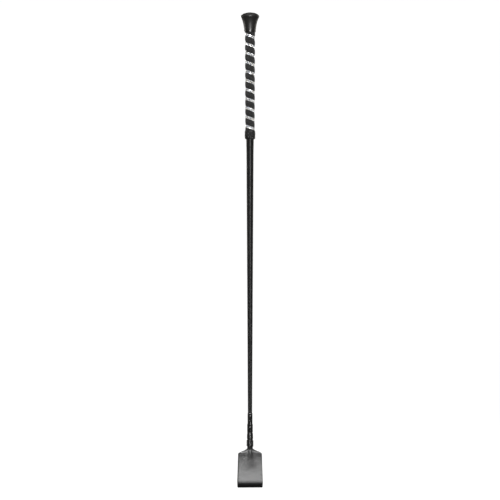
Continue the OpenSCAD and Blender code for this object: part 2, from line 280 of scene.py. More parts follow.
def leather(name, level, rough, pebble, depth, specular=0.5, fold=None):
    """Grained leather. A folded strip carries its own coordinates, with Y = 0 along the fold; the grain is
    stretched flat and polished within fold[0] of there and full again beyond fold[1]. Its base colour is
    also darkened there, as painted shade of the fold turning under, away from the light."""
    f = Finish(name, grey(level), 0.42, specular=specular)
    at = f.lay() if fold else f.place()
    wide = f.noise(at, 0.12, 4)
    fine = f.noise(at, 3.2, 4, 0.6)
    pores = f.cells(at, 1 / pebble, "SMOOTH_F1", 0.25)
    small = f.cells(at, 2.3 / pebble, "F1")
    shade = f.sum(f.times(wide, 0.5), f.times(fine, 0.5))
    worn = f.fit(f.sum(f.times(fine, 0.6), f.times(pores, 0.5)), 0.3, 0.7, *rough)
    if fold:
        y = f.node("SeparateXYZ", {"Vector": at}).outputs["Y"]
        unpolished_and_unshaded = f.fit(f.node("Math", {0: y}, operation="ABSOLUTE").outputs[0], *fold, 0, 1)
        # painted shade: towards the fold the base colour falls to a quarter, standing in for the shade
        # where the leather curves under
        shade = f.times(shade, f.fit(unpolished_and_unshaded, 0, 1, 0.25, 1))
        worn = f.times(worn, f.fit(unpolished_and_unshaded, 0, 1, 0.5, 1))
        pores, small = f.times(pores, unpolished_and_unshaded), f.times(small, unpolished_and_unshaded)
    f.tint(shade, [(0.12, grey(level * 0.15)), (0.3, grey(level * 0.55)), (0.5, grey(level)),
                   (0.75, grey(level * 1.9, 0.04))])
    f.roughen(worn)
    f.bump(pores, -depth)
    f.bump(small, -depth * 0.3)
    f.bump(fine, depth * 0.4)
    return f.material


def moulded(name, level, rough, grain, depth, specular=0.5, warm=0.0, coat=0.0, coat_rough=0.15,
            lip=None):
    """Moulded rubber or plastic; lip is (height, width) of an edge that handling has polished."""
    f = Finish(name, grey(level, warm), rough, specular=specular, coat=coat, coat_rough=coat_rough)
    at = f.place()
    wide = f.noise(at, 0.25, 3)
    fine = f.noise(at, 4.0, 4, 0.65)
    cells = f.cells(at, 1 / grain, "SMOOTH_F1", 0.5)
    f.tint(f.sum(f.times(wide, 0.4), f.times(fine, 0.6)),
           [(0.32, grey(level * 0.7, warm)), (0.5, grey(level, warm)), (0.7, grey(level * 1.45, warm))])
    worn = f.fit(fine, 0.3, 0.7, rough - 0.07, rough + 0.1)
    if lip:
        height = f.node("SeparateXYZ", {"Vector": at}).outputs["Z"]
        worn = f.times(worn, f.fit(height, lip[0], lip[0] + lip[1], 0.45, 1.0))
    f.roughen(worn)
    f.bump(cells, -depth)
    f.bump(fine, depth * 0.8)
    return f.material


def cloth_grip():
    """A soft napped twill: slanting rows of small stitches under fuzz."""
    f = Finish("grip_cloth", grey(0.018), 0.85, specular=0.2, sheen=0.08, sheen_rough=0.45)
    at = f.place()
    stitches = f.bricks(f.lay(turn=0.75), 1.3, 0.64, gap=0.2)
    fuzz = f.noise(at, 3.8, 6, 0.75)
    speckle = f.noise(at, 1.5, 3, 0.6)
    wide = f.noise(at, 0.3, 3)
    shade = f.sum(f.times(stitches, 0.24), f.times(fuzz, 0.40), f.times(speckle, 0.26), f.times(wide, 0.1))
    f.tint(shade,
           [(0.36, grey(0.003)), (0.50, grey(0.010)), (0.60, grey(0.026)), (0.75, grey(0.10))])
    f.rough(fuzz, 0.78, 0.95)
    f.bump(stitches, 0.14)
    f.bump(fuzz, 0.09)
    f.bump(speckle, 0.05)
    return f.material


def cloth_plain(name, level, warm=0.0, sheen=0.15):
    f = Finish(name, grey(level, warm), 0.85, specular=0.25, sheen=sheen)
    at = f.place()
    around = f.stripes(at, 0.7, "Z", distortion=0.4)
    slant = f.stripes(f.place(turn=(0.6, 0.5, 0)), 0.7, "X", distortion=0.4)
    fuzz = f.noise(at, 3.0, 4, 0.7)
    f.tint(f.sum(f.times(around, slant, 0.5), f.times(fuzz, 0.5)),
           [(0.2, grey(level * 0.5, warm)), (0.5, grey(level, warm)), (0.8, grey(level * 1.8, warm))])
    f.bump(f.times(around, slant), 0.05)
    f.bump(fuzz, 0.04)
    return f.material


def braided():
    f = Finish("braid", grey(0.005), 0.36, specular=0.26)
    at, weave = f.place(), f.lay()
    yarn = f.stripes(weave, 1.27, "X", distortion=0.4, detail_scale=3.0)
    fine = f.noise(at, 3.5, 4, 0.65)
    wide = f.noise(at, 0.15, 2)
    f.tint(f.sum(f.times(yarn, 0.35), f.times(fine, 0.45), f.times(wide, 0.2)),
           [(0.25, grey(0.002)), (0.5, grey(0.004)), (0.75, grey(0.010))])
    f.rough(f.sum(f.times(fine, 0.6), f.times(yarn, 0.4)), 0.26, 0.42)
    f.bump(yarn, 0.014)
    f.bump(fine, 0.016)
    return f.material


def waxed(name, level, rough, lines, depth, coat):
    """Lace or thread with fine lines along its length, which is the X of its lay."""
    f = Finish(name, grey(level), rough, coat=coat, coat_rough=0.09)
    at, weave = f.place(), f.lay()
    along = f.stripes(weave, lines / 6.28, "Y", distortion=0.8)
    fine = f.noise(at, 2.5, 4, 0.65)
    f.tint(fine, [(0.3, grey(level * 0.6)), (0.5, grey(level)), (0.75, grey(level * 1.9))])
    f.rough(fine, rough - 0.08, rough + 0.1)
    f.bump(along, depth)
    f.bump(fine, depth * 0.6)
    return f.material


def metal(name, colour, rough):
    f = Finish(name, colour, rough, metallic=1.0)
    at = f.place()
    lines = f.noise(f.place((0.6, 0.6, 9.0)), 0.5, 4)
    spots = f.noise(at, 0.9, 3)
    f.tint(f.sum(f.times(lines, 0.5), f.times(spots, 0.5)),
           [(0.3, tuple(c * 0.72 for c in colour)), (0.6, colour)])
    f.rough(lines, rough - 0.06, rough + 0.12)
    f.bump(lines, 0.006)
    return f.material


def stone():
    f = Finish("crystal", (0.93, 0.94, 0.96), 0.13, specular=0.8, metallic=0.48, coat=1.0,
               coat_rough=0.03)
    at = f.place()
    each = f.node("TexVoronoi", {"Vector": at, "Scale": 0.55}).outputs["Color"]
    parts = f.node("SeparateColor", {"Color": each}).outputs[0]
    f.tint(parts, [(0.0, (0.82, 0.88, 1.0)), (0.4, (0.97, 0.98, 1.0)), (0.75, (1.0, 0.99, 0.96)),
                   (1.0, (1.0, 0.94, 0.82))])
    f.bump(f.noise(at, 0.8, 2), 0.01)
    return f.material


def timber():
    f = Finish("plug_wood", (0.42, 0.29, 0.16), 0.6)
    rings = f.node("TexWave", {"Vector": f.place((0.4, 0.4, 0.05)), "Scale": 0.6, "Distortion": 3.0,
                               "Detail": 3.0}, wave_type="RINGS", rings_direction="Z").outputs["Fac"]
    f.tint(rings, [(0.2, (0.30, 0.19, 0.10)), (0.8, (0.50, 0.35, 0.20))])
    f.bump(f.noise(f.place((1, 1, 0.1)), 3.0, 4), 0.03)
    return f.material


def glass_fibre():
    f = Finish("fibreglass", (0.78, 0.75, 0.60), 0.32, coat=0.3)
    strands = f.noise(f.place((2.5, 2.5, 0.06)), 1.5, 4)
    f.tint(strands, [(0.3, (0.62, 0.58, 0.42)), (0.7, (0.86, 0.84, 0.72))])
    f.rough(strands, 0.25, 0.4)
    f.bump(strands, 0.02)
    return f.material


def foam():
    f = Finish("foam", grey(0.03), 0.8, specular=0.3)
    cells = f.cells(f.place(), 2.2)
    f.tint(cells, [(0.1, grey(0.015)), (0.6, grey(0.04))])
    f.bump(cells, -0.08)
    return f.material


CAP = moulded("cap_rubber", 0.009, 0.38, grain=0.42, depth=0.012, warm=0.06, coat=0.15,
              coat_rough=0.14, lip=(68.0, 4.0))
CROWN = moulded("cap_crown_rubber", 0.007, 0.52, specular=0.25, grain=0.42, depth=0.016, warm=0.12)
GRIP = cloth_grip()
TAPE = cloth_plain("band_tape", 0.008)
SETTING = metal("setting_metal", (0.62, 0.62, 0.64), 0.22)
CRYSTAL = stone()
KNOT = leather("knot_leather", 0.006, (0.34, 0.46), specular=0.35, pebble=0.5, depth=0.015)
BRAID = braided()
SLEEVE = moulded("shrunk_sleeve", 0.004, 0.16, grain=0.8, depth=0.005, coat=0.8, coat_rough=0.08)
LACE = waxed("lace_leather", 0.005, 0.15, lines=3.0, depth=0.008, coat=0.8)
THREAD = waxed("whipping_thread_wax", 0.006, 0.26, lines=10.0, depth=0.015, coat=0.3)
# fold also sets where the painted shade darkens the leather's colour near the fold
TONGUE = leather("tongue_leather", 0.015, (0.24, 0.38), pebble=0.5, depth=0.05, fold=(6.5, 11.5))
INNER = {
    "core_rod": glass_fibre(), "tip_ferrule": metal("ferrule_steel", (0.62, 0.62, 0.63), 0.35),
    "handle_sleeve": foam(), "shaft_padding": cloth_plain("filler_yarn", 0.5, 0.12, 0.0),
    "wrap_start_tape": cloth_plain("start_tape", 0.018), "cap_plug": timber(),
    "wrap_end_tape": cloth_plain("end_tape", 0.018),
}
for node_name, finish in INNER.items():
    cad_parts[node_name].data.materials.clear()
    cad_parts[node_name].data.materials.append(finish)


# ---------------------------------------------------------------- cap
def skirt(s, inset=0.0):
    """A point of the flare at a share of its height; the lowest few millimetres are upright."""
    slow = 0.07 * (1 - math.exp(-s / 0.07)) * (1 - s) ** 2
    return (SKIRT_R + (CAP_R - SKIRT_R) * (0.42 * (s - slow) + 0.58 * s ** 3.4) - inset,
            GRIP_TOP + s * (RIM_Z - GRIP_TOP))


def crown_height(r):
    return RIM_Z + CROWN_H * np.sqrt(max(0.0, 1 - (r / CAP_R) ** 2))


def make_cap():
    seam_r = CAP_R * math.sqrt(1 - ((SEAM_Z - RIM_Z) / CROWN_H) ** 2)
    bed = GRIP_TOP + HIDDEN_WRAP + 2.8
    s0 = (bed - GRIP_TOP) / (RIM_Z - GRIP_TOP)
    outer = [skirt(s) for s in np.linspace(0, 1, 45)]
    # the rim turns over in a small soft edge
    k = len(outer) - 1
    rim = rounded([outer[k - 1], outer[k], (seam_r, SEAM_Z)], [0, 0.55, 0], 7)[1:8]
    outline = [(SKIRT_BORE + 0.35, GRIP_TOP), (SKIRT_R - 0.45, GRIP_TOP),
               (SKIRT_R - 0.13, GRIP_TOP + 0.12), (SKIRT_R + 0.005, GRIP_TOP + 0.42)]
    outline += outer[2:k] + [tuple(p) for p in rim]
    outline += [(seam_r + 0.01, SEAM_Z - 0.16), (seam_r - 0.05, SEAM_Z - 0.05), (seam_r - 0.2, SEAM_Z),
                (seam_r - CAP_WALL, SEAM_Z)]
    outline += [skirt(s, CAP_WALL) for s in np.linspace(1, 0.42, 8)]
    outline += [skirt(s0, CAP_WALL), (SKIRT_BORE, bed), (SKIRT_BORE, GRIP_TOP + 0.35),
                (SKIRT_BORE + 0.1, GRIP_TOP + 0.1)]
    lathe("cap_body", outline, CAP, ["cap_shell"])

    spigot = seam_r - CAP_WALL - 0.03
    edge = seam_r - 0.06
    low = SEAM_Z + 0.03
    outline = [(0, RIM_Z + 0.05), (spigot, RIM_Z + 0.05), (spigot, low), (edge - 0.22, low),
               (edge - 0.07, low + 0.05), (edge - 0.02, low + 0.16)]
    for t in np.linspace(0.012, 1, 46):
        r = edge * math.cos(t * math.pi / 2)
        outline.append((r if t < 1 else 0, max(crown_height(r), low + 0.22 + 0.6 * t)))
    lathe("cap_dome", outline, CROWN, ["cap_crown"])


# ---------------------------------------------------------------- grip
def band_z(a):
    return FRONT_Z - PITCH * (a + 90) / 360


def band_angle(z):
    return (FRONT_Z - z) * 360 / PITCH - 90


def crown_r(z):
    return 6.45 + 0.5 * np.minimum(1, (z - GRIP_BOTTOM) / 134.0)


def wound(name, drop, half_w, section, finish, node, step=2.25, relief=None):
    """A strip wound down the grip. section is a closed loop of (across, share of the padding's
    height or, below 0, of the tape's thickness)."""
    a0, a1 = band_angle(GRIP_TOP + HIDDEN_WRAP + PITCH), band_angle(GRIP_BOTTOM - PITCH)
    a = np.linspace(a0, a1, int((a1 - a0) / step))[:, None]
    section = np.asarray(section, float)
    across, share = section[:, 0][None, :], section[:, 1][None, :]
    z = band_z(a) - drop + across * half_w
    middle = band_z(a) - drop
    r = BASE_R + np.where(share < 0, -share * TAPE_T, share * (crown_r(middle) - BASE_R))
    along = np.radians(a) * 6.6 / math.cos(math.atan(PITCH / (2 * np.pi * 6.6)))
    lay = np.stack([along + 0 * across, across * half_w + 0 * a, 0 * z], -1)
    if relief is not None:
        r = r + relief(lay[..., 0], lay[..., 1]) * np.clip(share * 3, 0, 1)
    t = np.radians(a)
    points = np.stack([r * np.cos(t), r * np.sin(t), z], -1)
    points, faces = sweep(points)
    return piece(name, points, faces, finish, [node], lay=lay,
                 cuts=[(GRIP_BOTTOM, -1), (GRIP_TOP + HIDDEN_WRAP, 1)])


def make_grip():
    # padded strip: a soft crown that tucks down beside the band
    u = np.concatenate([-np.cos(np.linspace(0, 0.35, 5)), np.linspace(-0.92, 0.92, 30),
                        np.cos(np.linspace(0.35, 0, 5))])
    top = np.maximum((1 - np.abs(u) ** 3.0) ** (1 / 2.1), 0.22)
    section = [(x, h) for x, h in zip(u, top)] + [(0.99, 0.0), (0.4, 0.0), (-0.4, 0.0), (-0.99, 0.0)]
    half_w = (PITCH - BAND_W - 0.1) / 2

    def relief(x, y):
        # a soft ribbed cloth: slanting cords, crossed by the weave's own ripple
        cords = np.sin(2 * np.pi * (x * 0.68 - y * 0.73) / 0.92)
        slow = np.sin(x / 7.3 + 1.3) + np.sin(x / 3.1 + 0.6 * np.sin(x / 11))
        return -0.03 + 0.018 * cords + 0.03 * slow

    strip = wound("grip_cloth_strip", PITCH / 2, half_w, section, GRIP, "grip_wrap", 2.0,
                  relief)
    flat = [(-1, 0), (-1, -0.75), (-0.97, -1), (0.97, -1), (1, -0.75), (1, 0)]
    wound("band_backing", 0.0, BAND_W / 2, flat, TAPE, "crystal_tape", 3.0)


def along_band():
    """Each stone's place as (outward, along, up, origin), as on the CAD band."""
    tape_r = BASE_R + TAPE_T + 0.03
    setting_h, spacing, row = 0.35, 2.4, 1.9
    around = 2 * math.pi * (tape_r + setting_h)
    slope = math.atan(PITCH / around)
    step = 360 * spacing / math.hypot(around, PITCH)
    side = row / 2
    lead = math.degrees(side * math.sin(slope) / tape_r)
    first = band_angle(GRIP_TOP)
    places = []
    for i in range(int((band_angle(GRIP_BOTTOM) - first) / step) + 1):
        for s in (-1, 1):
            a = first + i * step
            z = band_z(a) + s * side * math.cos(slope)
            if GRIP_BOTTOM + 1.05 < z < GRIP_TOP - 1.05:
                t = math.radians(a + s * lead)
                out = np.array([math.cos(t), math.sin(t), 0.0])
                tangent = np.array([-math.sin(t), math.cos(t), 0.0])
                along = tangent * math.cos(slope) - np.array([0, 0, 1.0]) * math.sin(slope)
                up = np.cross(out, along)
                places.append((out, along, up, out * tape_r + np.array([0, 0, z])))
    return places


def cup():
    """One stamped setting, in (outward, along, up): an eight-sided cup with four bent claws."""
    points, faces = [], []
    lengths = (0.0, 0.12, 0.3, 0.3, 0.12)
    sizes = (0.86, 0.9, 0.96, 0.84, 0.78)
    for out, size in zip(lengths, sizes):
        for k in range(8):
            t = math.radians(45 * k + 22.5)
            x, y = math.cos(t), math.sin(t)
            points.append((out, 1.09 * size * x * 1.02, 0.93 * size * y * 1.02))
    for ring in range(4):
        for k in range(8):
            a, b = ring * 8 + k, ring * 8 + (k + 1) % 8
            faces.append((a, b, b + 8, a + 8))
    faces.append(tuple(range(8)))
    faces.append(tuple(range(32, 40)))
    for q in range(4):
        t = math.radians(90 * q + 45)
        d, w = (math.cos(t), math.sin(t)), (-math.sin(t), math.cos(t))
        spine = [(0.05, 0.97), (0.3, 1.0), (0.46, 0.93), (0.5, 0.74)]
        base = len(points)
        for n, (out, r) in enumerate(spine):
            half = (0.2, 0.19, 0.16, 0.08)[n]
            for thick in (0, 0.09):
                for s in (-1, 1):
                    rr = r - thick * (1 if n < 2 else 0.4)
                    oo = out - (thick if n >= 2 else 0)
                    points.append((oo, rr * d[0] + s * half * w[0], rr * d[1] + s * half * w[1]))
        for n in range(3):
            o = base + 4 * n
            for a, b in ((0, 1), (1, 3), (3, 2), (2, 0)):
                faces.append((o + a, o + b, o + 4 + b, o + 4 + a))
        faces.append((base, base + 1, base + 3, base + 2))
        faces.append((base + 12, base + 13, base + 15, base + 14))
    return points, faces


def gem():
    """One round stone: a table, eight star and eight kite facets, and a girdle."""
    r = 0.9
    rings = [(0.02, r * 0.9, 0), (0.10, r, 0), (0.15, r, 0), (0.36, r * 0.82, 22.5), (0.47, r * 0.56, 0)]
    points = []
    for out, size, turn in rings:
        for k in range(8):
            t = math.radians(45.0 * k + turn)
            points.append((out, size * math.cos(t), size * math.sin(t)))
    faces = [tuple(range(8))]
    for ring in (0, 1):
        for k in range(8):
            a, b = ring * 8 + k, ring * 8 + (k + 1) % 8
            faces.append((a, b, b + 8, a + 8))
    for k in range(8):
        a, b = 16 + k, 16 + (k + 1) % 8
        c, d = 24 + k, 24 + (k + 1) % 8
        faces += [(a, b, c), (b, d, c)]
        e, f = 32 + k, 32 + (k + 1) % 8
        faces += [(e, c, f), (c, d, f)]
    faces.append(tuple(range(32, 40)))
    return points, faces


def make_band():
    rng = np.random.default_rng(7)
    places = along_band()
    for name, (points, faces), finish, slot, node in (
            ("stone_cups", cup(), SETTING, "setting", "crystal_settings"),
            ("stones", gem(), CRYSTAL, "crystal", "crystals")):
        points = np.array(points, float)
        gems = name == "stones"
        all_points, all_faces = [], []
        for n, (out, along, up, origin) in enumerate(places):
            p = points.copy()
            if gems:
                p[:, 0] += 0.26
                turn, tilt = rng.uniform(0, math.pi), rng.normal(0, 0.05, 2)
                c, s = math.cos(turn), math.sin(turn)
                p[:, 1:] = p[:, 1:] @ np.array([[c, -s], [s, c]])
                p[:, 0] += (p[:, 1] * tilt[0] + p[:, 2] * tilt[1]) * (points[:, 0] > 0.3)
            world = origin + p[:, :1] * out + p[:, 1:2] * along + p[:, 2:] * up
            all_points.append(world)
            all_faces += [tuple(v + n * len(points) for v in f) for f in faces]
        piece(name, np.concatenate(all_points), all_faces, finish, [node], flat=gems)


# ---------------------------------------------------------------- knot
def knot_centre(t):
    leads, bights, turn = 5, 9, 0.88
    swing = np.arcsin(turn * np.cos(2 * np.pi * bights * t)) / math.asin(turn)
    u = (2 * bights * t) % 1.0
    first = 1 / leads
    wave = np.where(u < first, -np.cos(np.pi / 2 * (u + first) / first),
                    np.where(u > 1 - first, -np.cos(np.pi / 2 * (u - 1 + first) / first),
                             np.cos(np.pi * (u - first) / first)))
    r = KNOT_R - STRAND_T / 2 - STRAND_LIFT - 0.2 * swing ** 2 + STRAND_LIFT * wave
    a = 2 * np.pi * leads * t
    rise = (GRIP_BOTTOM - COLLAR_BOTTOM - STRAND_W) / 2
    return np.stack([r * np.cos(a), r * np.sin(a), (GRIP_BOTTOM + COLLAR_BOTTOM) / 2 + rise * swing], -1)


def make_knot():
    steps = 1500
    t = np.arange(steps) / steps
    p = knot_centre(t)
    d = knot_centre(t + 0.0006) - knot_centre(t - 0.0006)
    d /= np.linalg.norm(d, axis=1)[:, None]
    out = p * [1, 1, 0]
    out /= np.linalg.norm(out, axis=1)[:, None]
    side = np.cross(d, out)
    side /= np.linalg.norm(side, axis=1)[:, None]
    up = np.cross(side, d)
    w = np.linspace(0, 2 * np.pi, 22, endpoint=False)
    across = np.sign(np.cos(w)) * np.abs(np.cos(w)) ** 0.8 * 0.5
    over = np.sign(np.sin(w)) * np.abs(np.sin(w)) ** 0.75 * 0.5
    # a shallow crease runs along each edge of the lace
    over = over * (1 - 0.10 * np.exp(-((np.abs(across) - 0.36) / 0.05) ** 2))
    rings = (p[:, None] + side[:, None] * (across * STRAND_W)[None, :, None]
             + up[:, None] * (over * STRAND_T)[None, :, None])
    points, faces = sweep(rings, True)
    piece("knot_lace", points, faces, KNOT, ["collar_knot"])


# ---------------------------------------------------------------- braid
def shaft_r(z):
    share = np.clip((COLLAR_BOTTOM - z) / (COLLAR_BOTTOM - SLEEVE_TOP), 0, 1)
    s, v = zip(*TAPER)
    return (SHAFT_TOP_D + (SHAFT_TIP_D - SHAFT_TOP_D) * np.interp(share, s, v)) / 2


def braid_pitch(z):
    return np.interp(z, [SLEEVE_TOP, COLLAR_BOTTOM], [1.40, 1.64])


# strands counted down the shaft: how many pitches lie above a height
HEIGHTS = np.linspace(COLLAR_BOTTOM + 6, SLEEVE_TOP - 26, 4000)
BETWEEN = (HEIGHTS[1:] + HEIGHTS[:-1]) / 2
COUNTS = np.concatenate([[0], np.cumsum(-np.diff(HEIGHTS) / braid_pitch(BETWEEN))])
COLUMNS = 16


def braid_count(z):
    return np.interp(-z, -HEIGHTS, COUNTS)


def braid_skin(count_from, count_to, rows_each, cols_each, depth, radius, round_power):
    """Points of the herringbone skin between two counts: strands climb one pitch across one column
    and fall across the next, so the rows run in zigzags. A greater round_power makes the gaps
    between the strands wider."""
    n = np.arange(int(round((count_to - count_from) * rows_each)) + 1) / rows_each + count_from
    cols = COLUMNS * cols_each
    u = np.arange(cols) / cols_each
    within = u % 1.0
    climb = np.where(np.floor(u) % 2 == 0, within, 1 - within)
    count = n[:, None] + climb[None, :]
    z = np.interp(count, COUNTS, HEIGHTS)
    phase = n[:, None] % 1.0
    strand = np.abs(np.sin(np.pi * phase)) ** round_power
    edge = np.abs(np.sin(np.pi * within))[None, :] ** 0.6
    h = strand * (0.38 + 0.62 * edge)
    a = u * 2 * np.pi / COLUMNS - np.pi / 2
    r = radius(z) - depth * (1 - h)
    points = np.stack([r * np.cos(a), r * np.sin(a), z], -1)
    lay = np.stack([n[:, None] + 0 * u, u[None, :] + 0 * n[:, None], 0 * z], -1)
    return points, lay


def flat_ring(z, r, cols):
    a = np.arange(cols) * 2 * np.pi / cols - np.pi / 2
    return np.stack([r * np.cos(a), r * np.sin(a), z + 0 * a], -1)[None]


def make_braid():
    """Two lengths of one braid; the upper one starts inside the cap, the lower one ends in the sleeve."""
    rows_each, cols_each, wall, depth = 7, 5, 0.55, 0.25
    cols = COLUMNS * cols_each
    first = float(np.floor(braid_count(COLLAR_BOTTOM + 4.5)))
    last = float(np.ceil(braid_count(SLEEVE_TOP - 4)))
    middle = float(round((first + last) / 2))
    above = [flat_ring(83.3, 5.3, cols), flat_ring(-70.0, 5.3, cols)]
    below = [flat_ring(SLEEVE_TOP - 9, 2.93, cols), flat_ring(-465.5, 2.93, cols)]
    for name, start, end, before, after in (("braid_upper", first, middle, above, []),
                                            ("braid_lower", middle, last, [], below)):
        skin, lay = braid_skin(start, end, rows_each, cols_each, depth, shaft_r, 0.85)
        outer = np.concatenate(before + [skin] + after)
        # the inside follows every 24th row of the outside
        keep = list(range(len(outer) - 1, -1, -1))
        keep = [keep[0]] + keep[2:-2:24] + [keep[-1]]
        inside = outer[keep].copy()
        bore = shaft_r(inside[..., 2]) - wall
        inside[..., :2] *= (bore / np.linalg.norm(inside[..., :2], axis=-1))[..., None]
        rings = np.concatenate([outer, inside])
        weave = np.zeros((len(rings), cols, 3))
        weave[len(before):len(before) + len(lay)] = lay
        piece(name, rings, grid(len(rings), cols, True, True), BRAID, ["shaft_braid"],
              lay=weave)


# ---------------------------------------------------------------- neck
def make_sleeves():
    """The upper sleeve has shrunk on to the braid and shows its strands; the lower one is plainer."""
    rows_each, cols_each = 6, 4
    cols = COLUMNS * cols_each
    start = float(np.ceil(braid_count(SLEEVE_TOP - 1.2)))
    end = float(np.floor(braid_count(NECK_SLEEVE_TOP - 3)))
    skin, _ = braid_skin(start, end, rows_each, cols_each, 0.07,
                         lambda z: SLEEVE_R - 0.05 * (1 + np.sin(z * 2 * np.pi / 2.05)) / 2, 1.2)
    rings = [flat_ring(SLEEVE_TOP, 3.0, cols), flat_ring(SLEEVE_TOP, 3.14, cols),
             flat_ring(SLEEVE_TOP - 0.12, 3.24, cols), flat_ring(SLEEVE_TOP - 0.5, 3.36, cols)]
    rings += [skin, flat_ring(NECK_SLEEVE_TOP - 6.3, SLEEVE_R, cols), flat_ring(-475.0, 3.4, cols),
              flat_ring(-475.0, 3.0, cols)]
    rings = np.concatenate(rings)
    piece("tip_sleeve_skin", rings, grid(len(rings), cols, True, True), SLEEVE, ["tip_sleeve"])

    outline = [(3.46, NECK_SLEEVE_TOP), (3.60, NECK_SLEEVE_TOP), (3.72, NECK_SLEEVE_TOP - 0.08),
               (3.84, NECK_SLEEVE_TOP - 0.3)]
    for z in np.linspace(NECK_SLEEVE_TOP - 0.7, LACE_TOP + 0.25, 60):
        s = (NECK_SLEEVE_TOP - z) / 11.2
        r = 3.90 - 0.10 * math.exp(-((s - 0.62) / 0.06) ** 2) - 0.05 * math.exp(-((s - 0.3) / 0.1) ** 2)
        outline.append((r, z))
    outline += [(3.82, LACE_TOP + 0.03), (3.46, LACE_TOP + 0.03)]

    def ripple(a, z):
        on = smooth((NECK_SLEEVE_TOP - 0.5 - z) / 1.0)
        return on * 0.03 * (np.sin(3 * a + z * 0.9) + np.sin(z * 2.6 + 0.6 * np.sin(2 * a)))

    lathe("neck_sleeve_skin", outline, SLEEVE, ["neck_sleeve"], 96, ripple)


def winding(name, top, bottom, turns, radius, section, finish, node, narrow, twist=0.0):
    """Wound round the neck with both ends at the back. The first and last half turns run level, where
    the ends narrow to a share of the width and thin out under the next turn. twist swells the
    surface like the plies of a thread."""
    section = np.asarray(section, float)
    low, high = section[:, 1].min(), section[:, 1].max()
    t = np.linspace(0, turns, int(turns * 96) + 1)[:, None]
    from_end = np.minimum(t, turns - t)
    fall = np.cumsum(0.35 + 0.65 * smooth(from_end / 0.5), axis=0)
    fall = (fall - fall[0]) / (fall[-1] - fall[0])
    width = narrow + (1 - narrow) * smooth(from_end / 0.5)
    thick = 0.3 + 0.7 * smooth(from_end / 0.09)
    dr, dz = section[:, 0][None, :] + 0 * t, section[:, 1][None, :] + 0 * t
    a = np.radians(90 + 360 * t)
    length = a * (radius[1] + 0.4)
    if twist:
        swell = 1 + 0.07 * np.cos(2 * np.arctan2(dz, dr) - length * twist)
        dr, dz = dr * swell, dz * swell
    edge = np.where(t < turns / 2, (1 - width) * high, (1 - width) * low)
    r = radius[0] + (radius[1] - radius[0]) * t / turns + dr * thick
    z = top - high - (top - bottom - (high - low)) * fall + dz * width + edge
    points = np.stack([r * np.cos(a), r * np.sin(a), z], -1)
    around = np.arctan2(section[:, 1], section[:, 0])[None, :] * 0.5
    lay = np.stack([length + 0 * dr, around + 0 * t, 0 * dr], -1)
    points, faces = sweep(points)
    return piece(name, points, faces, finish, [node], lay=lay)


def make_windings():
    half = 1.2
    base = WHIP_R - THREAD_D
    w = np.linspace(-np.pi / 2, np.pi / 2, 15)[1:-1]
    section = [(0.0, -half)] + [(LACE_T * 0.6 * math.cos(x) ** 0.55, half * math.sin(x)) for x in w]
    section += [(0.0, half), (-0.02, half * 0.4), (-0.02, -half * 0.4)]
    winding("lace_turns", LACE_TOP, WHIP_TOP + 0.03, LACE_TURNS, (base - 0.18, base + 0.02), section,
            LACE, "binding_lace", narrow=0.55)
    # pulled tight, the thread is a little flatter than round
    ring = [(THREAD_D / 2 * 0.62 * math.cos(t), THREAD_D / 2 * 1.15 * math.sin(t))
            for t in np.linspace(0, 2 * np.pi, 16, endpoint=False)]
    middle = WHIP_R - THREAD_D / 2 + 0.08
    winding("whipping_turns", WHIP_TOP, NECK_BOTTOM, WHIP_TURNS, (middle, middle), ring, THREAD,
            "whipping_thread", twist=2.4, narrow=0.8)


# ---------------------------------------------------------------- tongue
def tongue_half_width(z):
    s = np.clip((NECK_BOTTOM + 0.3 - z) / 10.0, 0, 1)
    upper = WHIP_R + (SHOULDER_HALF - WHIP_R) * (0.4 * s + 0.6 * smooth(s))
    down = np.clip((NECK_BOTTOM - 9.7 - z) / (NECK_BOTTOM - 9.7 - FOLD_Z), 0, 1)
    return np.where(s < 1, upper, SHOULDER_HALF + (FOLD_HALF - SHOULDER_HALF) * down)


def leaf_outer(z):
    """How far a leaf's outer face stands from the middle plane."""
    tab = np.interp(z, [WHIP_TOP, LACE_TOP], [3.78, SLEEVE_R])
    knuckle = PINCH_R - 0.07 * smooth((z - PINCH_Z) / 7) + 0.73 * smooth((z + 503.9) / 4.2)
    s = np.clip((PINCH_Z - z) / (PINCH_Z - FOLD_Z), 0, 1)
    spread, reach = 3.34, 0.86  # the bow of the leaf, and the share of its length where that is met
    bow = PINCH_R + spread * (s / reach) ** 1.5
    # above the fold the leaf eases from its slope back to upright
    s1 = 0.84
    y1, slope = PINCH_R + spread * (s1 / reach) ** 1.5, 1.5 * spread / reach * (s1 / reach) ** 0.5
    h = 1 - s1
    t = np.clip((s - s1) / h, 0, 1)
    ease = ((2 * t ** 3 - 3 * t ** 2 + 1) * y1 + (t ** 3 - 2 * t ** 2 + t) * h * slope
            + (-2 * t ** 3 + 3 * t ** 2) * FOLD_R)
    leaf = np.where(s > s1, ease, bow)
    return np.where(z > NECK_BOTTOM, np.maximum(tab, SLEEVE_R), np.where(z > PINCH_Z, knuckle, leaf))


def leaf_inner(z):
    """The leaves are bonded down to the web, and one leather's thickness apart below it."""
    outer = leaf_outer(z)
    free = outer - LEATHER_T
    web = smooth((z + 521.0) / 11.0)
    body = free * (1 - web) + 0.02 * web
    tab = smooth((z - (NECK_BOTTOM - 1.6)) / 1.6)
    return body * (1 - tab) + TAB_R * tab


def tongue_rounding(x, rows):
    """The share of the leather's thickness that is left at x, near the rounded cut edges."""
    half, slope = rows[:, 4][:, None], rows[:, 5][:, None]
    edge = np.clip((half - np.abs(x)) / (0.62 * slope), 0, 1)
    return 0.12 + 0.88 * np.sqrt(1 - (1 - edge) ** 2)


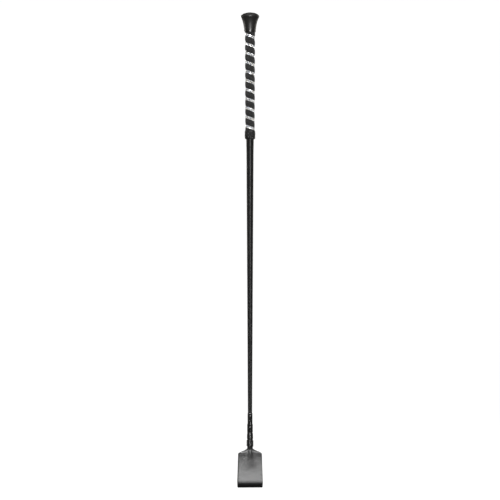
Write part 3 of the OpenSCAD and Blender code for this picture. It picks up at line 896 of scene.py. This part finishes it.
def tongue_face(x, rows, is_outer):
    """Points of one face of the strip at the cross positions x, one row of them for every row."""
    y_out, z_out, y_in, z_in, half, _, wrap, side = (c[:, None] for c in rows.T)
    soft = tongue_rounding(x, rows)
    y_face, z_face = (y_out, z_out) if is_outer else (y_in, z_in)
    y = (y_out + y_in) / 2 + (y_face - (y_out + y_in) / 2) * soft
    z = (z_out + z_in) / 2 + (z_face - (z_out + z_in) / 2) * soft
    if is_outer:
        # the rod's end lifts a ridge that dies away down the leaf
        spread = 1.8 + 6.0 * smooth((-502.0 - z_face) / 26.0)
        ends = smooth((z_face + 534.0) / 25.0) * smooth((-499.2 - z_face) / 8.0)
        y = y + side * 0.9 * np.exp(-(x / spread) ** 2) * ends
    # round the rod the leaf is a bent tab
    radius = np.abs(y_face)
    bend = np.radians(82) * x / half
    tab_x, tab_y = radius * np.sin(bend), np.sign(y_face) * radius * np.cos(bend)
    return np.stack([x * (1 - wrap) + tab_x * wrap, y * (1 - wrap) + tab_y * wrap, z + 0 * x], -1)


def make_tongue():
    """One strip of leather: up the front, folded at the bottom and up the back."""
    heights = np.concatenate([
        np.linspace(-476.0, -490.0, 10), np.linspace(-491.0, NECK_BOTTOM, 10),
        np.linspace(NECK_BOTTOM - 0.1, -511.0, 110), np.linspace(-511.45, FOLD_Z + 0.2, 114)])
    half = tongue_half_width(heights)
    slope = np.hypot(1, np.gradient(half, heights))
    wrap = smooth((heights + 508.5) / 8.8)
    outer, inner = leaf_outer(heights), leaf_inner(heights)
    front = np.stack([-outer, heights, -inner, heights, half, slope, wrap, 0 * half - 1], -1)
    back = front[::-1] * [-1, 1, -1, 1, 1, 1, 1, -1]
    turn = np.linspace(np.pi, 2 * np.pi, 66)
    r_in = FOLD_R - LEATHER_T
    none = 0 * turn
    fold = np.stack([FOLD_R * np.cos(turn), FOLD_Z + FOLD_R * np.sin(turn), r_in * np.cos(turn),
                     FOLD_Z + r_in * np.sin(turn), FOLD_HALF + none, 1 + none, none, none], -1)
    rows = np.concatenate([front, fold, back])

    inset = np.array([0.0, 0.04, 0.12, 0.25, 0.42, 0.65, 0.95])  # mm in from the cut edge

    def across(columns):
        w, steep = rows[:, 4][:, None], rows[:, 5][:, None]
        edge, flat = w - inset * steep, (w - 1.3 * steep) * np.linspace(-1, 1, columns)
        return np.concatenate([-edge, flat, edge[:, ::-1]], 1)

    x, x_in = across(92), across(30)[:, ::-1]
    outer, inner = tongue_face(x, rows, True), tongue_face(x_in, rows, False)
    # pebble grain on the outside, and a slow unevenness, both fading out at the cut edges
    along = np.cumsum(np.concatenate([[0], np.hypot(np.diff(rows[:, 0]), np.diff(rows[:, 1]))]))
    relief = np.zeros(x.shape)
    for r in np.nonzero(rows[:, 1] < NECK_BOTTOM - 0.5)[0]:
        for c in range(x.shape[1]):
            p = Vector((x[r, c], along[r], 0.0))
            near = noise.voronoi(p * 1.25)[0]
            grain = 0.03 * (min(1.0, (near[1] - near[0]) * 2.2) - 0.6)
            relief[r, c] = grain + 0.05 * noise.noise(p * 0.16)
    relief *= np.clip((rows[:, 4][:, None] - np.abs(x)) / 1.6, 0, 1)
    from_fold = along - along[len(along) // 2]
    relief *= (0.25 + 0.75 * smooth((np.abs(from_fold) - 6.5) / 5.0))[:, None]
    through = rows[:, :2] - rows[:, 2:4]
    through /= np.hypot(through[:, 0], through[:, 1])[:, None]
    outer[..., 1:] += relief[..., None] * through[:, None, :]
    cross = np.concatenate([x, x_in], 1)
    depth = np.concatenate([-tongue_rounding(x, rows), tongue_rounding(x_in, rows)], 1) * LEATHER_T / 2
    lay = np.stack([cross, from_fold[:, None] + 0 * cross, depth], -1)
    points, faces = sweep(np.concatenate([outer, inner], 1))
    tongue = piece("tongue_leather", points, faces, TONGUE,
                   ["tongue_loop", "tongue_tab_front", "tongue_tab_back"], body=None, lay=lay)
    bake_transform(tongue)


make_cap()
make_grip()
make_band()
make_knot()
make_braid()
make_sleeves()
make_windings()
make_tongue()


# ---------------------------------------------------------------- stage, light and camera
def make_stage():
    """A pale floor that curves up into a round backdrop."""
    floor_z, reach, rise, bend = -0.64, 6.0, 5.5, 1.6
    profile = [(0.0, floor_z), (reach - bend, floor_z)]
    for t in np.linspace(0, math.pi / 2, 16)[1:]:
        profile.append((reach - bend + bend * math.sin(t), floor_z + bend * (1 - math.cos(t))))
    profile.append((reach, rise))
    sides = 96
    a = np.arange(sides) * 2 * np.pi / sides
    points = [(r * math.cos(t), r * math.sin(t), z) for r, z in profile for t in a]
    mesh = bpy.data.meshes.new("backdrop")
    mesh.from_pydata(points, [], grid(len(profile), sides, False, True))
    bm = bmesh.new()
    bm.from_mesh(mesh)
    bmesh.ops.remove_doubles(bm, verts=bm.verts, dist=1e-5)
    bmesh.ops.recalc_face_normals(bm, faces=bm.faces)
    bm.to_mesh(mesh)
    bm.free()
    mesh.polygons.foreach_set("use_smooth", [True] * len(mesh.polygons))
    paint = Finish("backdrop_paint", grey(0.06), 0.95, specular=0.05)
    paint.set("Emission Color", (1, 1, 1, 1))
    paint.set("Emission Strength", 1.0)
    mesh.materials.append(paint.material)
    backdrop = bpy.data.objects.new("backdrop", mesh)
    scene.collection.objects.link(backdrop)
    backdrop.visible_glossy = False
    backdrop.visible_diffuse = False


def lamp(name, place, aim, width, height, power, colour=(1, 1, 1)):
    data = bpy.data.lights.new(name, "AREA")
    data.shape = "RECTANGLE"
    data.size, data.size_y = width, height
    data.energy = power
    data.color = colour
    obj = bpy.data.objects.new(name, data)
    obj.location = place
    obj.rotation_euler = (Vector(aim) - Vector(place)).to_track_quat("-Z", "Y").to_euler()
    obj.visible_camera = False
    scene.collection.objects.link(obj)


def make_light():
    world = bpy.data.worlds.new("studio")
    world.use_nodes = True
    world.node_tree.nodes["Background"].inputs["Color"].default_value = (1, 1, 1, 1)
    world.node_tree.nodes["Background"].inputs["Strength"].default_value = 0.10
    scene.world = world
    middle = (0, 0, -0.23)
    lamp("key", (0.05, -2.2, 0.36), middle, 0.72, 1.1, 64)
    lamp("top", (0, -0.25, 1.6), middle, 1.3, 1.3, 24)
    lamp("left", (-2.0, 1.25, 0.35), middle, 0.9, 1.5, 13, (1.0, 0.96, 0.9))
    lamp("right", (2.0, 1.25, 0.35), middle, 0.9, 1.5, 11, (1.0, 0.94, 0.86))
    lamp("back", (0, 2.4, 0.5), middle, 0.8, 1.2, 24)


def make_camera():
    data = bpy.data.cameras.new("camera")
    data.lens = 180
    data.sensor_width = 36
    data.clip_end = 50
    cam = bpy.data.objects.new("camera", data)
    azimuth = math.radians(-4.5)
    target = Vector((0, 0, -0.2307))
    distance = 3.42
    cam.location = target + Vector((math.sin(azimuth), -math.cos(azimuth), 0.0)) * distance
    cam.rotation_euler = (target - cam.location).to_track_quat("-Z", "Y").to_euler()
    scene.collection.objects.link(cam)
    scene.camera = cam


make_stage()
make_light()
make_camera()
scene.view_settings.view_transform = "Standard"
scene.view_settings.look = "None"
